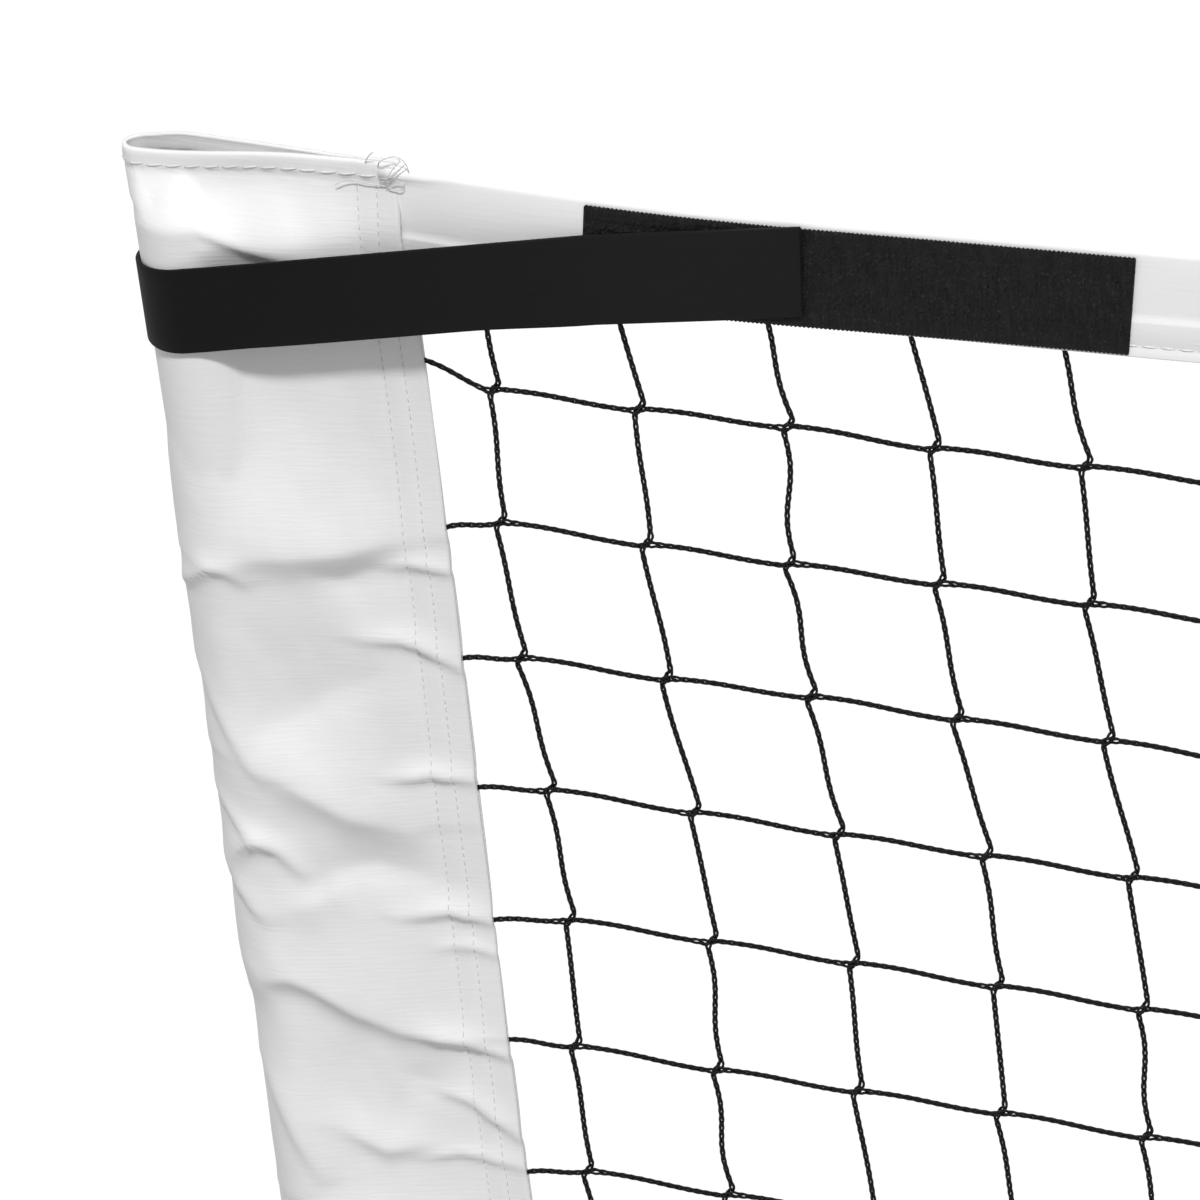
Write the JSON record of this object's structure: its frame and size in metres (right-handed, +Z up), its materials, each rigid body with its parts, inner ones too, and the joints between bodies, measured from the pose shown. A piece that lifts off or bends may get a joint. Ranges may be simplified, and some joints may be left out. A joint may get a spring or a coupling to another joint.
{
  "type": "pickleball portable net",
  "caption": "Portable court net with white sleeves and top tape over black netting, on uprights and a jointed tube frame that stands on the floor.",
  "frame": {"origin": "on the floor below the middle of the net", "axes": "+X along the net, -Y towards the side that the straps fasten on, +Z up"},
  "size_m": [6.715, 0.726, 0.915],
  "materials": {
    "powder_coat": "satin black powder coat with a fine grain",
    "moulded_plastic": "black moulded plastic",
    "button_steel": "plated steel",
    "spring_steel": "blued spring steel",
    "white_vinyl": "vinyl coated woven fabric, matt",
    "headline": "braided cord",
    "black_netting": "braided knotless cord",
    "black_webbing": "woven tape",
    "loop_pile": "brushed loop pile",
    "hook_tape": "smooth woven back, hooks inside"
  },
  "bodies": {
    "frame_and_net": {"bottom_band": "black_webbing", "button_springs": "spring_steel", "centre_foot": "powder_coat", "centre_foot_caps": "moulded_plastic", "centre_pocket": "white_vinyl", "centre_post": "powder_coat", "centre_post_cap": "moulded_plastic", "headline_cord": "headline", "left_foot": "powder_coat", "left_foot_caps": "moulded_plastic", "left_inner_rail": "powder_coat", "left_lower_loop_patch": "loop_pile", "left_lower_strap_wrap": "hook_tape", "left_middle_rail": "powder_coat", "left_outer_rail": "powder_coat", "left_sleeve": "white_vinyl", "left_upper_loop_patch": "loop_pile", "left_upper_strap_wrap": "hook_tape", "left_upright": "powder_coat", "left_upright_cap": "moulded_plastic", "netting": "black_netting", "right_foot": "powder_coat", "right_foot_caps": "moulded_plastic", "right_inner_rail": "powder_coat", "right_lower_loop_patch": "loop_pile", "right_lower_strap_wrap": "hook_tape", "right_middle_rail": "powder_coat", "right_outer_rail": "powder_coat", "right_sleeve": "white_vinyl", "right_upper_loop_patch": "loop_pile", "right_upper_strap_wrap": "hook_tape", "right_upright": "powder_coat", "right_upright_cap": "moulded_plastic", "top_tape": "white_vinyl"},
    "centre_post_button": {"centre_post_button": "button_steel"},
    "left_centre_arm_button": {"left_centre_arm_button": "button_steel"},
    "left_inner_rail_button": {"left_inner_rail_button": "button_steel"},
    "left_lower_strap_end": {"left_lower_strap_end": "hook_tape"},
    "left_middle_rail_button": {"left_middle_rail_button": "button_steel"},
    "left_outer_rail_button": {"left_outer_rail_button": "button_steel"},
    "left_upper_strap_end": {"left_upper_strap_end": "hook_tape"},
    "left_upright_button": {"left_upright_button": "button_steel"},
    "right_centre_arm_button": {"right_centre_arm_button": "button_steel"},
    "right_inner_rail_button": {"right_inner_rail_button": "button_steel"},
    "right_lower_strap_end": {"right_lower_strap_end": "hook_tape"},
    "right_middle_rail_button": {"right_middle_rail_button": "button_steel"},
    "right_outer_rail_button": {"right_outer_rail_button": "button_steel"},
    "right_upper_strap_end": {"right_upper_strap_end": "hook_tape"},
    "right_upright_button": {"right_upright_button": "button_steel"}
  },
  "joints": [
    {"name": "centre_post_button_press", "type": "slide", "parent": "frame_and_net", "child": "centre_post_button", "axis": [0, -1, 0], "range_m": [0, 0.0045], "stiffness_N_per_m": 3000, "deforming": ["button_springs"]},
    {"name": "left_centre_arm_button_press", "type": "slide", "parent": "frame_and_net", "child": "left_centre_arm_button", "axis": [0, 0, -1], "range_m": [0, 0.004], "stiffness_N_per_m": 3000},
    {"name": "left_inner_rail_button_press", "type": "slide", "parent": "frame_and_net", "child": "left_inner_rail_button", "axis": [0, 0, -1], "range_m": [0, 0.004], "stiffness_N_per_m": 3000},
    {"name": "left_lower_strap_end_peel", "type": "hinge", "parent": "frame_and_net", "child": "left_lower_strap_end", "pos_m": [-3.33035, -0.02253, 0.183], "axis": [0, 0, -1], "range_deg": [0, 150]},
    {"name": "left_middle_rail_button_press", "type": "slide", "parent": "frame_and_net", "child": "left_middle_rail_button", "axis": [0, 0, -1], "range_m": [0, 0.004], "stiffness_N_per_m": 3000},
    {"name": "left_outer_rail_button_press", "type": "slide", "parent": "frame_and_net", "child": "left_outer_rail_button", "axis": [0, 0, -1], "range_m": [0, 0.004], "stiffness_N_per_m": 3000},
    {"name": "left_upper_strap_end_peel", "type": "hinge", "parent": "frame_and_net", "child": "left_upper_strap_end", "pos_m": [-3.33035, -0.02253, 0.85], "axis": [0, 0, -1], "range_deg": [0, 150]},
    {"name": "left_upright_button_press", "type": "slide", "parent": "frame_and_net", "child": "left_upright_button", "axis": [0, 1, 0], "range_m": [0, 0.0045], "stiffness_N_per_m": 3000},
    {"name": "right_centre_arm_button_press", "type": "slide", "parent": "frame_and_net", "child": "right_centre_arm_button", "axis": [0, 0, -1], "range_m": [0, 0.004], "stiffness_N_per_m": 3000},
    {"name": "right_inner_rail_button_press", "type": "slide", "parent": "frame_and_net", "child": "right_inner_rail_button", "axis": [0, 0, -1], "range_m": [0, 0.004], "stiffness_N_per_m": 3000},
    {"name": "right_lower_strap_end_peel", "type": "hinge", "parent": "frame_and_net", "child": "right_lower_strap_end", "pos_m": [3.33035, -0.02253, 0.183], "axis": [0, 0, 1], "range_deg": [0, 150]},
    {"name": "right_middle_rail_button_press", "type": "slide", "parent": "frame_and_net", "child": "right_middle_rail_button", "axis": [0, 0, -1], "range_m": [0, 0.004], "stiffness_N_per_m": 3000},
    {"name": "right_outer_rail_button_press", "type": "slide", "parent": "frame_and_net", "child": "right_outer_rail_button", "axis": [0, 0, -1], "range_m": [0, 0.004], "stiffness_N_per_m": 3000},
    {"name": "right_upper_strap_end_peel", "type": "hinge", "parent": "frame_and_net", "child": "right_upper_strap_end", "pos_m": [3.33035, -0.02253, 0.85], "axis": [0, 0, 1], "range_deg": [0, 150]},
    {"name": "right_upright_button_press", "type": "slide", "parent": "frame_and_net", "child": "right_upright_button", "axis": [0, 1, 0], "range_m": [0, 0.0045], "stiffness_N_per_m": 3000}
  ]
}
